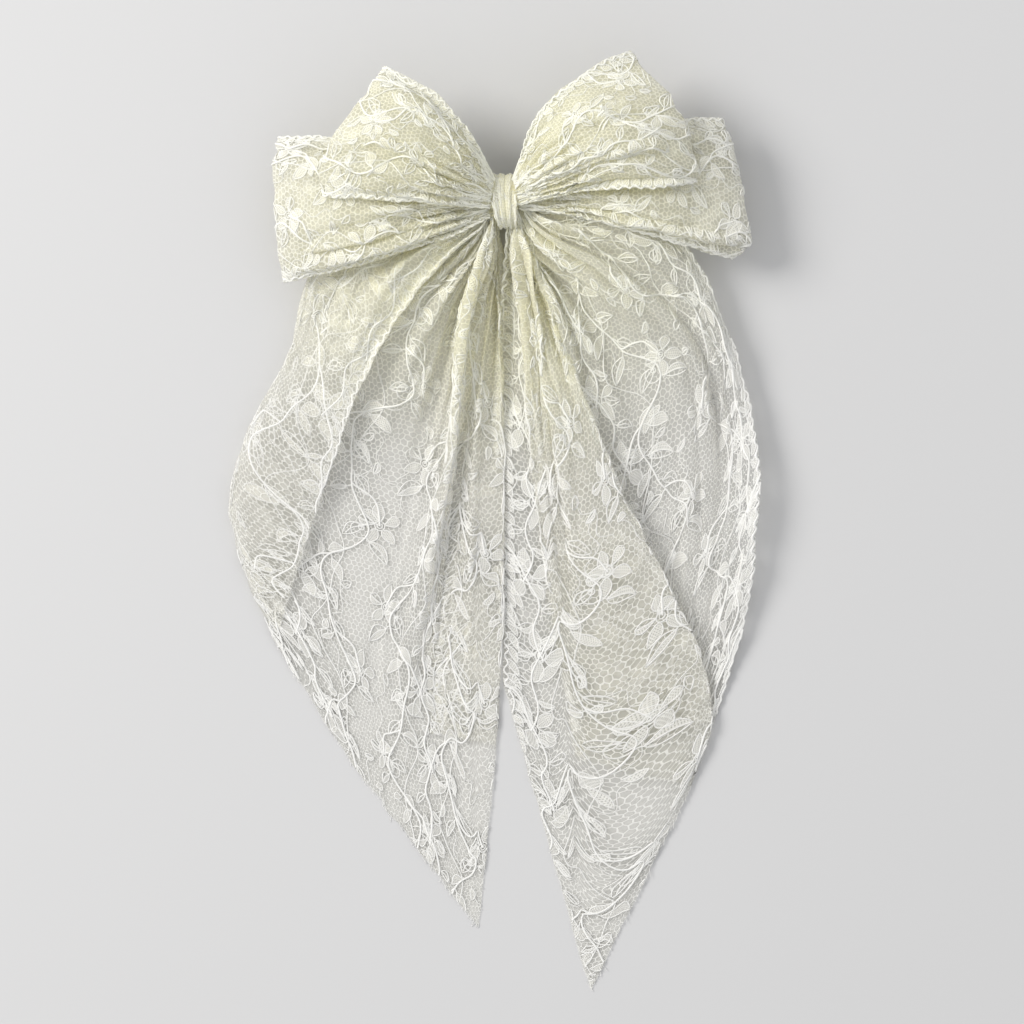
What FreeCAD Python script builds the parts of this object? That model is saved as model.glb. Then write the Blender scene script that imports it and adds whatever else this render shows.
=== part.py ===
"""Lace hair bow on a spring barrette.

Frame: +X to the wearer's side, along the barrette; +Y to the top of the bow; +Z out of its front.
The origin is the middle of the gap that the hair fills, between the barrette's plate and its arm.
The bow lies on its back, and what it rests on is at z = rest_level. All sizes are millimetres.
"""
import FreeCAD, Part
import math
import os
import Sketcher

doc = FreeCAD.newDocument("HairBow")
sheet = doc.addObject("Spreadsheet::Sheet", "sizes")

SIZES = {
    # level of the table under the bow
    "rest_level": -6.2,
    # half the width of the block that cuts the tails' undersides flat at that level
    "cut_half_width": 152.0,
    # arched plate
    "plate_half_length": 38.0,
    "plate_width": 9.6,
    "plate_thickness": 0.7,
    "plate_radius": 220.0,
    "plate_top": 5.8,
    "sewing_hole_radius": 0.9,
    "sewing_hole_inner": 22.0,
    "sewing_hole_outer": 30.0,
    "sewing_hole_y": 2.6,
    # hinge at the left end
    "hinge_x": -38.2,
    "hinge_z": -4.4,
    "pin_radius": 0.6,
    "pin_head_radius": 1.0,
    "pin_head_length": 0.4,
    "ear_radius": 1.8,
    "ear_left": -40.0,
    "ear_right": -34.5,
    "ear_foot_z": 0.5,
    "ear_top_z": 2.8,
    "ear_plate_z": 2.2,
    "ear_back_z": 1.2,
    # locking arm
    "arm_width": 7.4,
    "arm_thickness": 0.6,
    "arm_radius": 400.0,
    "arm_top": -2.5,
    "arm_start": -37.6,
    "arm_tip": 38.6,
    "arm_corner": 1.6,
    "knuckle_radius": 1.2,
    "knuckle_clearance": 0.05,
    "flange_depth": 1.0,
    "flange_thickness": 0.5,
    "flange_end": 32.5,
    "slot_start": 33.6,
    "slot_end": 37.6,
    "slot_width": 5.0,
    # spring leaf
    "leaf_length": 52.0,
    "leaf_width": 4.4,
    "leaf_thickness": 0.4,
    "leaf_radius": 900.0,
    "leaf_fixed_x": -26.5,
    "leaf_fixed_top": 3.35,
    "leaf_free_top": 2.2,
    "leaf_hole_radius": 1.05,
    # rivets
    "rivet_radius": 0.8,
    "rivet_head_radius": 1.4,
    "rivet_head_height": 0.35,
    "leaf_rivet_x": -24.0,
    "leaf_rivet_reach": 2.0,
    "catch_rivet_x": 36.0,
    # catch under the free end of the plate
    "seat_length": 4.0,
    "seat_width": 4.8,
    "seat_thickness": 0.5,
    "seat_gap": 0.02,
    "wing_thickness": 0.6,
    "wing_inner": 1.6,
    "wing_top": 1.0,
    "prong_start": 34.2,
    "prong_end": 37.0,
    "prong_tip": -5.4,
    "wing_shoulder": -2.4,
    "wing_step": 39.4,
    "wing_end": 43.0,
    "tab_reach": 3.2,
    # glue line and thread turns
    "glue_half_length": 18.0,
    "glue_width": 7.0,
    "glue_thickness": 0.6,
    "thread_radius": 0.3,
    "thread_pitch": 0.7,
    "gather_half_width": 8.2,
    "gather_half_height": 4.2,
    "gather_middle": 11.0,
    # band round the middle
    "band_length": 11.0,
    "band_half_width": 10.4,
    "band_thickness": 0.9,
    "band_bottom": 4.05,
    "band_top": 16.5,
    "band_corner": 3.4,
    # gathered tops of the tails, inside the band
    "tab_start": 0.3,
    "tab_end": 12.0,
    "tab_half_width": 4.0,
    "tab_bottom": 7.7,
    "tab_top": 9.0,
    # direction of each loop in plan, in degrees from +X
    "front_loop_left_angle": 154.8,
    "front_loop_right_angle": 29.3,
    "back_loop_left_angle": 181.8,
    "back_loop_right_angle": 4.4,
}

# Each loop widens from the gather to its folded outer end.
# Stations: distance from the gather, half width, half height, level of the middle.
LOOPS = {
    "front_loop_left": [
        (2.6, 4.4, 1.0, 13.2),
        (7.8, 4.5, 1.2, 13.6),
        (30.0, 19.0, 5.2, 21.5),
        (50.0, 24.5, 7.5, 23.0),
        (56.4, 23.0, 4.0, 22.0),
    ],
    "front_loop_right": [
        (3.0, 4.4, 1.0, 13.2),
        (8.2, 4.5, 1.2, 13.6),
        (32.0, 19.5, 5.2, 21.5),
        (54.0, 25.0, 7.5, 23.5),
        (61.3, 23.5, 4.0, 22.5),
    ],
    "back_loop_left": [
        (0.8, 6.8, 1.0, 10.9),
        (7.0, 7.0, 1.2, 10.9),
        (28.0, 14.0, 3.6, 11.4),
        (50.0, 22.0, 6.0, 9.5),
        (70.0, 25.0, 8.0, 4.5),
        (77.0, 24.0, 5.0, 2.5),
    ],
    "back_loop_right": [
        (0.8, 6.8, 1.0, 10.9),
        (7.0, 7.0, 1.2, 10.9),
        (28.0, 14.0, 3.6, 11.4),
        (50.0, 20.0, 6.0, 9.5),
        (72.0, 23.0, 8.0, 4.5),
        (79.5, 22.0, 5.0, 2.5),
    ],
}

# Each tail falls from the gather to a point.
# Stations: distance below the gather, inner edge, outer edge, underside, top at inner, top at outer.
# An underside below rest_level is cut off flat there, where the tail lies on the table.
TAILS = {
    "tail_left": [
        (-1.0, -5.9, -12.5, 7.6, 9.0, 9.0),
        (6.5, -5.9, -13.5, 5.9, 9.0, 9.0),
        (10.9, -5.9, -17.0, 3.0, 9.0, 8.0),
        (11.6, -2.4, -18.0, 2.6, 9.0, 8.0),
        (28.0, -0.6, -64.0, -7.0, 6.0, -3.4),
        (60.0, -0.6, -77.0, -7.0, 4.0, -0.5),
        (90.0, -0.6, -92.0, -7.0, 3.0, 1.0),
        (112.0, -0.6, -90.3, -7.0, 2.0, 1.0),
        (146.0, -1.2, -79.0, -7.0, 0.0, -2.0),
        (188.0, -2.4, -52.0, -7.0, -2.5, -3.5),
        (220.0, -5.5, -29.0, -7.0, -4.0, -4.2),
        (244.0, -7.5, -10.5, -7.0, -4.8, -4.8),
    ],
    "tail_right": [
        (-1.0, 5.9, 12.5, 7.6, 9.0, 9.0),
        (6.5, 5.9, 13.5, 5.9, 9.0, 9.0),
        (10.9, 5.9, 17.0, 3.0, 9.0, 8.0),
        (11.6, 2.6, 18.0, 2.6, 9.0, 8.0),
        (28.0, 0.6, 66.0, -7.0, 6.0, -3.4),
        (45.0, 0.6, 76.0, -7.0, 5.0, -0.5),
        (72.0, 0.6, 83.8, -7.0, 4.0, 2.5),
        (92.0, 0.6, 86.5, -7.0, 3.0, 3.5),
        (120.0, 0.6, 84.5, -7.0, 2.0, 1.5),
        (153.0, 0.6, 78.0, -7.0, 0.0, -2.0),
        (173.0, 2.0, 71.3, -7.0, -1.5, -3.0),
        (200.0, 8.8, 61.5, -7.0, -3.0, -3.5),
        (232.0, 17.0, 45.0, -7.0, -4.0, -4.2),
        (266.0, 27.5, 30.5, -7.0, -4.8, -4.8),
    ],
}

LOOP_FIELDS = ("reach", "half_width", "half_height", "level")
TAIL_FIELDS = ("drop", "inner", "outer", "underside", "inner_top", "outer_top")

ALONG_Y = FreeCAD.Rotation(FreeCAD.Vector(1, 0, 0), -90)
# turns the XY plane so that X points along Y and Y points along Z
ACROSS_X = FreeCAD.Rotation(FreeCAD.Vector(1, 1, 1), 120)


def fill_sheet():
    """Writes every size into the sheet, one row each, with its alias."""
    rows = dict(SIZES)
    for group, fields in ((LOOPS, LOOP_FIELDS), (TAILS, TAIL_FIELDS)):
        for name, stations in group.items():
            for number, station in enumerate(stations):
                for field, value in zip(fields, station):
                    rows[station_alias(name, number, field)] = value
    for row, (alias, value) in enumerate(rows.items(), start=1):
        sheet.set(f"A{row}", alias)
        sheet.set(f"B{row}", str(value))
        sheet.setAlias(f"B{row}", alias)
    doc.recompute()


def station_alias(name, number, field):
    return f"{name}_station_{number}_{field}"


def size(alias):
    return float(sheet.get(alias))


def bind(obj, **expressions):
    """Binds properties of obj to the sheet; a double underscore in a name stands for a dot."""
    for name, expression in expressions.items():
        obj.setExpression(name.replace("__", "."), expression)


# ---------------------------------------------------------------- sketches and bodies

def new_body(name):
    body = doc.addObject("PartDesign::Body", name)
    body.Label = name
    return body


def new_sketch(body, name, role, offset=None):
    """A sketch on one of its body's origin planes; offset is an expression along its normal."""
    sketch = body.newObject("Sketcher::SketchObject", name)
    plane = [item for item in body.Origin.OriginFeatures if item.Role == role][0]
    sketch.AttachmentSupport = [(plane, "")]
    sketch.MapMode = "FlatFace"
    if offset is not None:
        sketch.setExpression("AttachmentOffset.Base.z", offset)
    return sketch


def drive(sketch, kind, geometry, point, expression):
    """Adds one dimension to a point or curve of the sketch and binds it to an expression."""
    value = sheet.evalExpression(expression)
    if point is None:
        index = sketch.addConstraint(Sketcher.Constraint(kind, geometry, value))
    else:
        index = sketch.addConstraint(Sketcher.Constraint(kind, geometry, point, value))
    sketch.setExpression(f"Constraints[{index}]", expression)


def draw_polygon(sketch, corners):
    """A closed outline through corners, each a pair of expressions."""
    values = [FreeCAD.Vector(*[sheet.evalExpression(word) for word in corner]) for corner in corners]
    count = len(values)
    for number in range(count):
        sketch.addGeometry(Part.LineSegment(values[number], values[(number + 1) % count]))
    for number in range(count):
        following = (number + 1) % count
        sketch.addConstraint(Sketcher.Constraint("Coincident", number, 2, following, 1))
    for number, (across, up) in enumerate(corners):
        drive(sketch, "DistanceX", number, 1, across)
        drive(sketch, "DistanceY", number, 1, up)


def draw_arched_strip(sketch, radius, thickness, top, left, right):
    """A strip bent about a centre below it; every argument is an expression."""
    outer = sheet.evalExpression(radius)
    inner = outer - sheet.evalExpression(thickness)
    middle = FreeCAD.Vector(0, sheet.evalExpression(top) - outer)
    start = math.acos(sheet.evalExpression(right) / outer)
    end = math.acos(sheet.evalExpression(left) / outer)
    upward = FreeCAD.Vector(0, 0, 1)
    arcs = [Part.ArcOfCircle(Part.Circle(middle, upward, bend), start, end) for bend in (outer, inner)]
    for arc in arcs:
        sketch.addGeometry(arc)
    for at_start in (True, False):
        ends = [arc.StartPoint if at_start else arc.EndPoint for arc in arcs]
        sketch.addGeometry(Part.LineSegment(*ends))
    for line, arc_end in ((2, 1), (3, 2)):
        sketch.addConstraint(Sketcher.Constraint("Coincident", line, 1, 0, arc_end))
        sketch.addConstraint(Sketcher.Constraint("Coincident", line, 2, 1, arc_end))
        sketch.addConstraint(Sketcher.Constraint("PointOnObject", 0, 3, line))
    sketch.addConstraint(Sketcher.Constraint("Coincident", 0, 3, 1, 3))
    sketch.addConstraint(Sketcher.Constraint("PointOnObject", 0, 3, -2))
    drive(sketch, "DistanceY", 0, 3, f"{top} - {radius}")
    drive(sketch, "Radius", 0, None, radius)
    drive(sketch, "Radius", 1, None, f"{radius} - {thickness}")
    drive(sketch, "DistanceX", 0, 1, right)
    drive(sketch, "DistanceX", 0, 2, left)


def pad(body, name, sketch, length, symmetric=True):
    feature = body.newObject("PartDesign::Pad", name)
    feature.Profile = sketch
    feature.SideType = "Symmetric" if symmetric else "One side"
    feature.setExpression("Length", length)
    return feature


def round_bar(body, kind, name, radius, length, place, rotation):
    """An additive or subtractive cylinder; length is centred on place, a triple of expressions."""
    feature = body.newObject(kind, name)
    feature.Placement = FreeCAD.Placement(FreeCAD.Vector(), rotation)
    bind(feature, Radius=radius, Height=length)
    bind(feature, Placement__Base__x=place[0], Placement__Base__y=place[1], Placement__Base__z=place[2])
    return feature


def box(body, kind, name, low, high):
    """An additive or subtractive box between two corners, each a triple of expressions."""
    feature = body.newObject(kind, name)
    spans = [f"({top}) - ({bottom})" for bottom, top in zip(low, high)]
    bind(feature, Length=spans[0], Width=spans[1], Height=spans[2])
    bind(feature, Placement__Base__x=low[0], Placement__Base__y=low[1], Placement__Base__z=low[2])
    return feature


def edges_along(shape, direction, test):
    """Names of the straight edges along direction whose middle passes the test."""
    names = []
    for number, edge in enumerate(shape.Edges, start=1):
        if not isinstance(edge.Curve, Part.Line):
            continue
        along = edge.Curve.Direction.cross(direction).Length < 1e-6
        if along and test(edge.CenterOfMass):
            names.append(f"Edge{number}")
    return names


def round_edges(body, name, base, edge_names, radius):
    feature = body.newObject("PartDesign::Fillet", name)
    feature.Base = (base, edge_names)
    feature.setExpression("Radius", radius)
    body.Tip = feature
    return feature


def plate_normal(x_alias):
    """Where a line across the plate at x meets its top, and how that line leans."""
    across = size(x_alias)
    radius = size("plate_radius")
    lean = math.asin(across / radius)
    level = size("plate_top") - radius * (1 - math.cos(lean))
    rotation = FreeCAD.Rotation(FreeCAD.Vector(0, 1, 0), math.degrees(lean))
    return FreeCAD.Placement(FreeCAD.Vector(across, 0, level), rotation)


# ---------------------------------------------------------------- barrette

def make_plate():
    body = new_body("barrette_plate")
    strip = new_sketch(body, "plate_profile", "XZ_Plane")
    draw_arched_strip(strip, "sizes.plate_radius", "sizes.plate_thickness", "sizes.plate_top",
                      "-sizes.plate_half_length", "sizes.plate_half_length")
    pad(body, "plate_strip", strip, "sizes.plate_width")
    outline = [
        ("sizes.ear_left", "sizes.hinge_z"),
        ("sizes.hinge_x + sizes.ear_radius", "sizes.hinge_z"),
        ("sizes.ear_right", "sizes.ear_foot_z"),
        ("sizes.ear_right", "sizes.ear_top_z"),
        ("-sizes.plate_half_length", "sizes.ear_plate_z"),
        ("sizes.ear_left", "sizes.ear_back_z"),
    ]
    # the sketch's normal points along -Y, so an offset of minus half the width is the upper ear
    offsets = {"upper": "-sizes.plate_width / 2", "lower": "sizes.plate_width / 2 - sizes.plate_thickness"}
    for side, offset in offsets.items():
        ear = new_sketch(body, f"ear_{side}_profile", "XZ_Plane", offset)
        draw_polygon(ear, outline)
        pad(body, f"ear_{side}", ear, "sizes.plate_thickness", symmetric=False)
        start = f"-({offset}) - sizes.plate_thickness"
        round_bar(body, "PartDesign::AdditiveCylinder", f"ear_{side}_end", "sizes.ear_radius",
                  "sizes.plate_thickness", ("sizes.hinge_x", start, "sizes.hinge_z"), ALONG_Y)
    round_bar(body, "PartDesign::SubtractiveCylinder", "pin_hole", "sizes.pin_radius", "sizes.plate_width",
              ("sizes.hinge_x", "-sizes.plate_width / 2", "sizes.hinge_z"), ALONG_Y)
    for side in (-1, 1):
        for spot in ("inner", "outer"):
            place = (f"{side} * sizes.sewing_hole_{spot}", "sizes.sewing_hole_y", "0")
            round_bar(body, "PartDesign::SubtractiveCylinder", f"sewing_hole_{spot}_{side + 1}",
                      "sizes.sewing_hole_radius", "sizes.plate_top", place, FreeCAD.Rotation())
    for end in ("leaf", "catch"):
        hole = body.newObject("PartDesign::SubtractiveCylinder", f"{end}_rivet_hole")
        bind(hole, Radius="sizes.rivet_radius", Height="4 * sizes.plate_thickness")
        centred = FreeCAD.Placement(FreeCAD.Vector(0, 0, -2 * size("plate_thickness")), FreeCAD.Rotation())
        hole.Placement = plate_normal(f"{end}_rivet_x") * centred
    return body


def make_hinge_pin():
    pieces = []
    shank_half = "sizes.plate_width / 2"
    spans = {
        "shank": ("sizes.pin_radius", f"-{shank_half}", "sizes.plate_width"),
        "upper_head": ("sizes.pin_head_radius", shank_half, "sizes.pin_head_length"),
        "lower_head": ("sizes.pin_head_radius", f"-{shank_half} - sizes.pin_head_length",
                       "sizes.pin_head_length"),
    }
    for name, (radius, start, length) in spans.items():
        piece = doc.addObject("Part::Cylinder", f"pin_{name}")
        piece.Placement = FreeCAD.Placement(FreeCAD.Vector(), ALONG_Y)
        bind(piece, Radius=radius, Height=length)
        bind(piece, Placement__Base__x="sizes.hinge_x", Placement__Base__y=start,
             Placement__Base__z="sizes.hinge_z")
        pieces.append(piece)
    return fuse("hinge_pin", pieces)


def make_arm():
    body = new_body("barrette_arm")
    web = new_sketch(body, "arm_profile", "XZ_Plane")
    draw_arched_strip(web, "sizes.arm_radius", "sizes.arm_thickness", "sizes.arm_top",
                      "sizes.arm_start", "sizes.arm_tip")
    strip = pad(body, "arm_web", web, "sizes.arm_width")
    doc.recompute()
    lean = math.asin(size("arm_tip") / size("arm_radius"))
    across_tip = FreeCAD.Vector(math.sin(lean), 0, math.cos(lean))
    corners = edges_along(strip.Shape, across_tip, lambda spot: spot.x > size("slot_end"))
    round_edges(body, "arm_tip_corners", strip, corners, "sizes.arm_corner")
    flange_edges = {"upper": "-sizes.arm_width / 2", "lower": "sizes.arm_width / 2 - sizes.flange_thickness"}
    for side, offset in flange_edges.items():
        flange = new_sketch(body, f"flange_{side}_profile", "XZ_Plane", offset)
        draw_arched_strip(flange, "(sizes.arm_radius - sizes.arm_thickness / 2)",
                          "(sizes.flange_depth + sizes.arm_thickness / 2)",
                          "(sizes.arm_top - sizes.arm_thickness / 2)",
                          "-sizes.flange_end", "sizes.flange_end")
        pad(body, f"flange_{side}", flange, "sizes.flange_thickness", symmetric=False)
    knuckle = ("sizes.hinge_x", "-sizes.arm_width / 2", "sizes.hinge_z")
    round_bar(body, "PartDesign::AdditiveCylinder", "knuckle", "sizes.knuckle_radius", "sizes.arm_width",
              knuckle, ALONG_Y)
    round_bar(body, "PartDesign::SubtractiveCylinder", "knuckle_bore",
              "sizes.pin_radius + sizes.knuckle_clearance", "sizes.arm_width", knuckle, ALONG_Y)
    box(body, "PartDesign::SubtractiveBox", "catch_slot",
        ("sizes.slot_start", "-sizes.slot_width / 2", "sizes.rest_level"),
        ("sizes.slot_end", "sizes.slot_width / 2", "0"))
    return body


def make_leaf():
    body = new_body("tension_leaf")
    profile = new_sketch(body, "leaf_profile", "XZ_Plane")
    draw_arched_strip(profile, "sizes.leaf_radius", "sizes.leaf_thickness", "0",
                      "-sizes.leaf_length / 2", "sizes.leaf_length / 2")
    pad(body, "leaf_strip", profile, "sizes.leaf_width")
    fall = size("leaf_fixed_top") - size("leaf_free_top")
    lean = math.degrees(math.asin(fall / size("leaf_length")))
    half = size("leaf_length") / 2
    rise = size("leaf_radius") - math.sqrt(size("leaf_radius") ** 2 - half ** 2)
    across = size("leaf_fixed_x") + half * math.cos(math.radians(lean))
    level = (size("leaf_fixed_top") + size("leaf_free_top")) / 2 + rise
    body.Placement = FreeCAD.Placement(FreeCAD.Vector(across, 0, level),
                                       FreeCAD.Rotation(FreeCAD.Vector(0, 1, 0), lean))
    hole = body.newObject("PartDesign::SubtractiveCylinder", "leaf_rivet_hole")
    bind(hole, Radius="sizes.leaf_hole_radius", Height="10 * sizes.leaf_thickness")
    through = FreeCAD.Placement(FreeCAD.Vector(0, 0, -10 * size("leaf_thickness")), FreeCAD.Rotation())
    hole.Placement = body.Placement.inverse() * plate_normal("leaf_rivet_x") * through
    return body


def fuse(name, pieces):
    whole = doc.addObject("Part::MultiFuse", name)
    whole.Shapes = pieces
    whole.Label = name
    return whole


def make_rivet(name, x_alias, reach):
    """A rivet across the plate: a head on the plate, a shank, and a head at reach below its top."""
    spans = {
        "shank": ("sizes.rivet_radius", f"-({reach})", reach),
        "top_head": ("sizes.rivet_head_radius", "0", "sizes.rivet_head_height"),
        "bottom_head": ("sizes.rivet_head_radius", f"-({reach}) - sizes.rivet_head_height",
                        "sizes.rivet_head_height"),
    }
    pieces = []
    for part_name, (radius, start, length) in spans.items():
        piece = doc.addObject("Part::Cylinder", f"{name}_{part_name}")
        bind(piece, Radius=radius, Height=length, Placement__Base__z=start)
        pieces.append(piece)
    rivet = fuse(name, pieces)
    rivet.Placement = plate_normal(x_alias)
    return rivet


def make_seat():
    body = new_body("catch_seat")
    top = "-sizes.plate_thickness - sizes.seat_gap"
    box(body, "PartDesign::AdditiveBox", "seat_block",
        ("-sizes.seat_length / 2", "-sizes.seat_width / 2", f"{top} - sizes.seat_thickness"),
        ("sizes.seat_length / 2", "sizes.seat_width / 2", top))
    round_bar(body, "PartDesign::SubtractiveCylinder", "seat_hole", "sizes.rivet_radius",
              "2 * sizes.plate_thickness", ("0", "0", "-2 * sizes.plate_thickness"), FreeCAD.Rotation())
    body.Placement = plate_normal("catch_rivet_x")
    return body


def make_wing(name, side):
    """One wing of the catch: prong, shoulder over the arm's tip, and the tab that is pinched."""
    body = new_body(name)
    inner = "sizes.wing_inner"
    outer = "(sizes.wing_inner + sizes.wing_thickness)"
    offset = f"-{outer}" if side > 0 else inner
    profile = new_sketch(body, f"{name}_profile", "XZ_Plane", offset)
    draw_polygon(profile, [
        ("sizes.prong_start", "sizes.wing_top"),
        ("sizes.prong_start", "sizes.prong_tip"),
        ("sizes.prong_end", "sizes.prong_tip"),
        ("sizes.prong_end", "sizes.wing_shoulder"),
        ("sizes.wing_step", "sizes.wing_shoulder"),
        ("sizes.wing_step", "sizes.prong_tip"),
        ("sizes.wing_end", "sizes.prong_tip"),
        ("sizes.wing_end", "sizes.wing_top"),
    ])
    pad(body, f"{name}_side", profile, "sizes.wing_thickness", symmetric=False)
    low, high = (inner, f"{outer} + sizes.tab_reach") if side > 0 else (f"-{outer} - sizes.tab_reach",
                                                                        f"-{inner}")
    tab = box(body, "PartDesign::AdditiveBox", f"{name}_tab",
              ("sizes.wing_end - sizes.wing_thickness", low, "sizes.prong_tip"),
              ("sizes.wing_end", high, "sizes.wing_top"))
    doc.recompute()
    tip = size("wing_inner") + size("wing_thickness") + size("tab_reach") / 2
    corners = edges_along(tab.Shape, FreeCAD.Vector(1, 0, 0), lambda spot: abs(spot.y) > tip)
    round_edges(body, f"{name}_tab_corners", tab, corners, "sizes.wing_thickness * 2")
    return body


def make_glue():
    body = new_body("glue_pad")
    profile = new_sketch(body, "glue_profile", "XZ_Plane")
    draw_arched_strip(profile, "(sizes.plate_radius + sizes.glue_thickness)", "sizes.glue_thickness",
                      "(sizes.plate_top + sizes.glue_thickness)",
                      "-sizes.glue_half_length", "sizes.glue_half_length")
    pad(body, "glue_line", profile, "sizes.glue_width")
    return body


# ---------------------------------------------------------------- gathered middle

def make_thread():
    """Turns of gathering thread, each an ellipse round the stacked lace."""
    turns = []
    for number in (-2, -1, 0, 1, 2):
        route = doc.addObject("Part::Ellipse", f"thread_route_{number + 2}")
        route.Placement = FreeCAD.Placement(FreeCAD.Vector(), ACROSS_X)
        bind(route, MajorRadius="sizes.gather_half_width", MinorRadius="sizes.gather_half_height")
        bind(route, Placement__Base__x=f"{number} * sizes.thread_pitch",
             Placement__Base__z="sizes.gather_middle")
        section = doc.addObject("Part::Circle", f"thread_section_{number + 2}")
        section.setExpression("Radius", "sizes.thread_radius")
        section.Placement = FreeCAD.Placement(FreeCAD.Vector(), FreeCAD.Rotation())
        bind(section, Placement__Base__x=f"{number} * sizes.thread_pitch",
             Placement__Base__y="sizes.gather_half_width", Placement__Base__z="sizes.gather_middle")
        turn = doc.addObject("Part::Sweep", f"thread_turn_{number + 2}")
        turn.Sections = [section]
        turn.Spine = (route, ["Edge1"])
        turn.Solid = True
        turns.append(turn)
    thread = doc.addObject("Part::Compound", "gather_thread")
    thread.Links = turns
    thread.Label = "gather_thread"
    return thread


def rounded_block(name, low, high, radius):
    """A block between two corners whose two upper edges along X are rounded."""
    block = doc.addObject("Part::Box", f"{name}_block")
    spans = [f"({top}) - ({bottom})" for bottom, top in zip(low, high)]
    bind(block, Length=spans[0], Width=spans[1], Height=spans[2])
    bind(block, Placement__Base__x=low[0], Placement__Base__y=low[1], Placement__Base__z=low[2])
    doc.recompute()
    middle = block.Shape.BoundBox.Center.z
    names = edges_along(block.Shape, FreeCAD.Vector(1, 0, 0), lambda spot: spot.z > middle)
    rounded = doc.addObject("Part::Fillet", name)
    rounded.Base = block
    rounded.Edges = [(int(word.removeprefix("Edge")), radius, radius) for word in names]
    return rounded


def make_band():
    """A sleeve along X round the gathered lace and the plate."""
    half = "sizes.band_length / 2"
    wall = "sizes.band_thickness"
    outside = rounded_block("band_outside", (f"-{half}", "-sizes.band_half_width", "sizes.band_bottom"),
                            (half, "sizes.band_half_width", "sizes.band_top"), size("band_corner"))
    inside = rounded_block(
        "band_inside", (f"-{half}", f"-sizes.band_half_width + {wall}", f"sizes.band_bottom + {wall}"),
        (half, f"sizes.band_half_width - {wall}", f"sizes.band_top - {wall}"),
        size("band_corner") - size("band_thickness"))
    band = doc.addObject("Part::Cut", "knot_band")
    band.Base = outside
    band.Tool = inside
    band.Label = "knot_band"
    return band


# ---------------------------------------------------------------- lace

def make_loop(name):
    """A loop as one closed solid: elliptical sections along its own axis, turned into place."""
    sections = []
    for number in range(len(LOOPS[name])):
        section = doc.addObject("Part::Ellipse", f"{name}_section_{number}")
        section.Placement = FreeCAD.Placement(FreeCAD.Vector(), ACROSS_X)
        field = {word: "sizes." + station_alias(name, number, word) for word in LOOP_FIELDS}
        bind(section, MajorRadius=field["half_width"], MinorRadius=field["half_height"])
        bind(section, Placement__Base__x=field["reach"], Placement__Base__z=field["level"])
        sections.append(section)
    loop = doc.addObject("Part::Loft", name)
    loop.Sections = sections
    loop.Solid = True
    loop.Ruled = True
    loop.Label = name
    loop.Placement = FreeCAD.Placement(FreeCAD.Vector(),
                                       FreeCAD.Rotation(FreeCAD.Vector(0, 0, 1), size(f"{name}_angle")))
    return loop


def make_tail(name, side):
    """A tail as one closed solid: a loft down its length, and its gathered top inside the band."""
    body = new_body(name)
    sketches = []
    for number in range(len(TAILS[name])):
        field = {word: "sizes." + station_alias(name, number, word) for word in TAIL_FIELDS}
        sketch = new_sketch(body, f"{name}_section_{number}", "XZ_Plane", field["drop"])
        draw_polygon(sketch, [
            (field["inner"], field["underside"]),
            (field["outer"], field["underside"]),
            (field["outer"], field["outer_top"]),
            (field["inner"], field["inner_top"]),
        ])
        sketches.append(sketch)
    loft = body.newObject("PartDesign::AdditiveLoft", f"{name}_fall")
    loft.Profile = sketches[0]
    loft.Sections = sketches[1:]
    loft.Ruled = True
    lowest = "sizes." + station_alias(name, len(TAILS[name]) - 1, "drop")
    widest = "sizes.cut_half_width"
    box(body, "PartDesign::SubtractiveBox", f"{name}_flat_underside",
        (f"-{widest}", f"-{lowest} - 1", "2 * sizes.rest_level"), (widest, "0", "sizes.rest_level"))
    near, far = "sizes.tab_start", "sizes.tab_end"
    left, right = (near, far) if side > 0 else (f"-{far}", f"-{near}")
    box(body, "PartDesign::AdditiveBox", f"{name}_gathered_top",
        (left, "-sizes.tab_half_width", "sizes.tab_bottom"),
        (right, "sizes.tab_half_width", "sizes.tab_top"))
    return body


# ---------------------------------------------------------------- whole bow

def build():
    fill_sheet()
    parts = [
        make_plate(),
        make_hinge_pin(),
        make_arm(),
        make_leaf(),
        make_rivet("leaf_rivet", "leaf_rivet_x", "sizes.leaf_rivet_reach"),
        make_seat(),
        make_rivet("catch_rivet", "catch_rivet_x",
                   "sizes.plate_thickness + sizes.seat_gap + sizes.seat_thickness"),
        make_wing("catch_wing_upper", 1),
        make_wing("catch_wing_lower", -1),
        make_glue(),
        make_thread(),
        make_band(),
    ]
    parts += [make_loop(name) for name in LOOPS]
    parts += [make_tail("tail_left", -1), make_tail("tail_right", 1)]
    doc.recompute()
    return parts


def check(parts):
    """Stops before anything is written if an object or a sub-part's shape has failed."""
    for item in doc.Objects:
        if "Invalid" in item.State or "Error" in item.State:
            raise RuntimeError(f"{item.Name} failed: {item.State}")
    for part in parts:
        if part.Shape.isNull() or not part.Shape.isValid() or not part.Shape.Solids:
            raise RuntimeError(f"{part.Label} has no valid solid")


def export(parts):
    os.makedirs("parts", exist_ok=True)
    for part in parts:
        part.Shape.exportStep(f"parts/{part.Label}.step")
        print(f"{part.Label}: {len(part.Shape.Solids)} solid, {part.Shape.Volume:.1f} mm3")


all_parts = build()
check(all_parts)
export(all_parts)
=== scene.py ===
"""A lace hair bow on a clip barrette: the looks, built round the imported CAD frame.

Lengths in the tables, and places on the flat cloth, are in millimetres.
"""

import math

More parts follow.
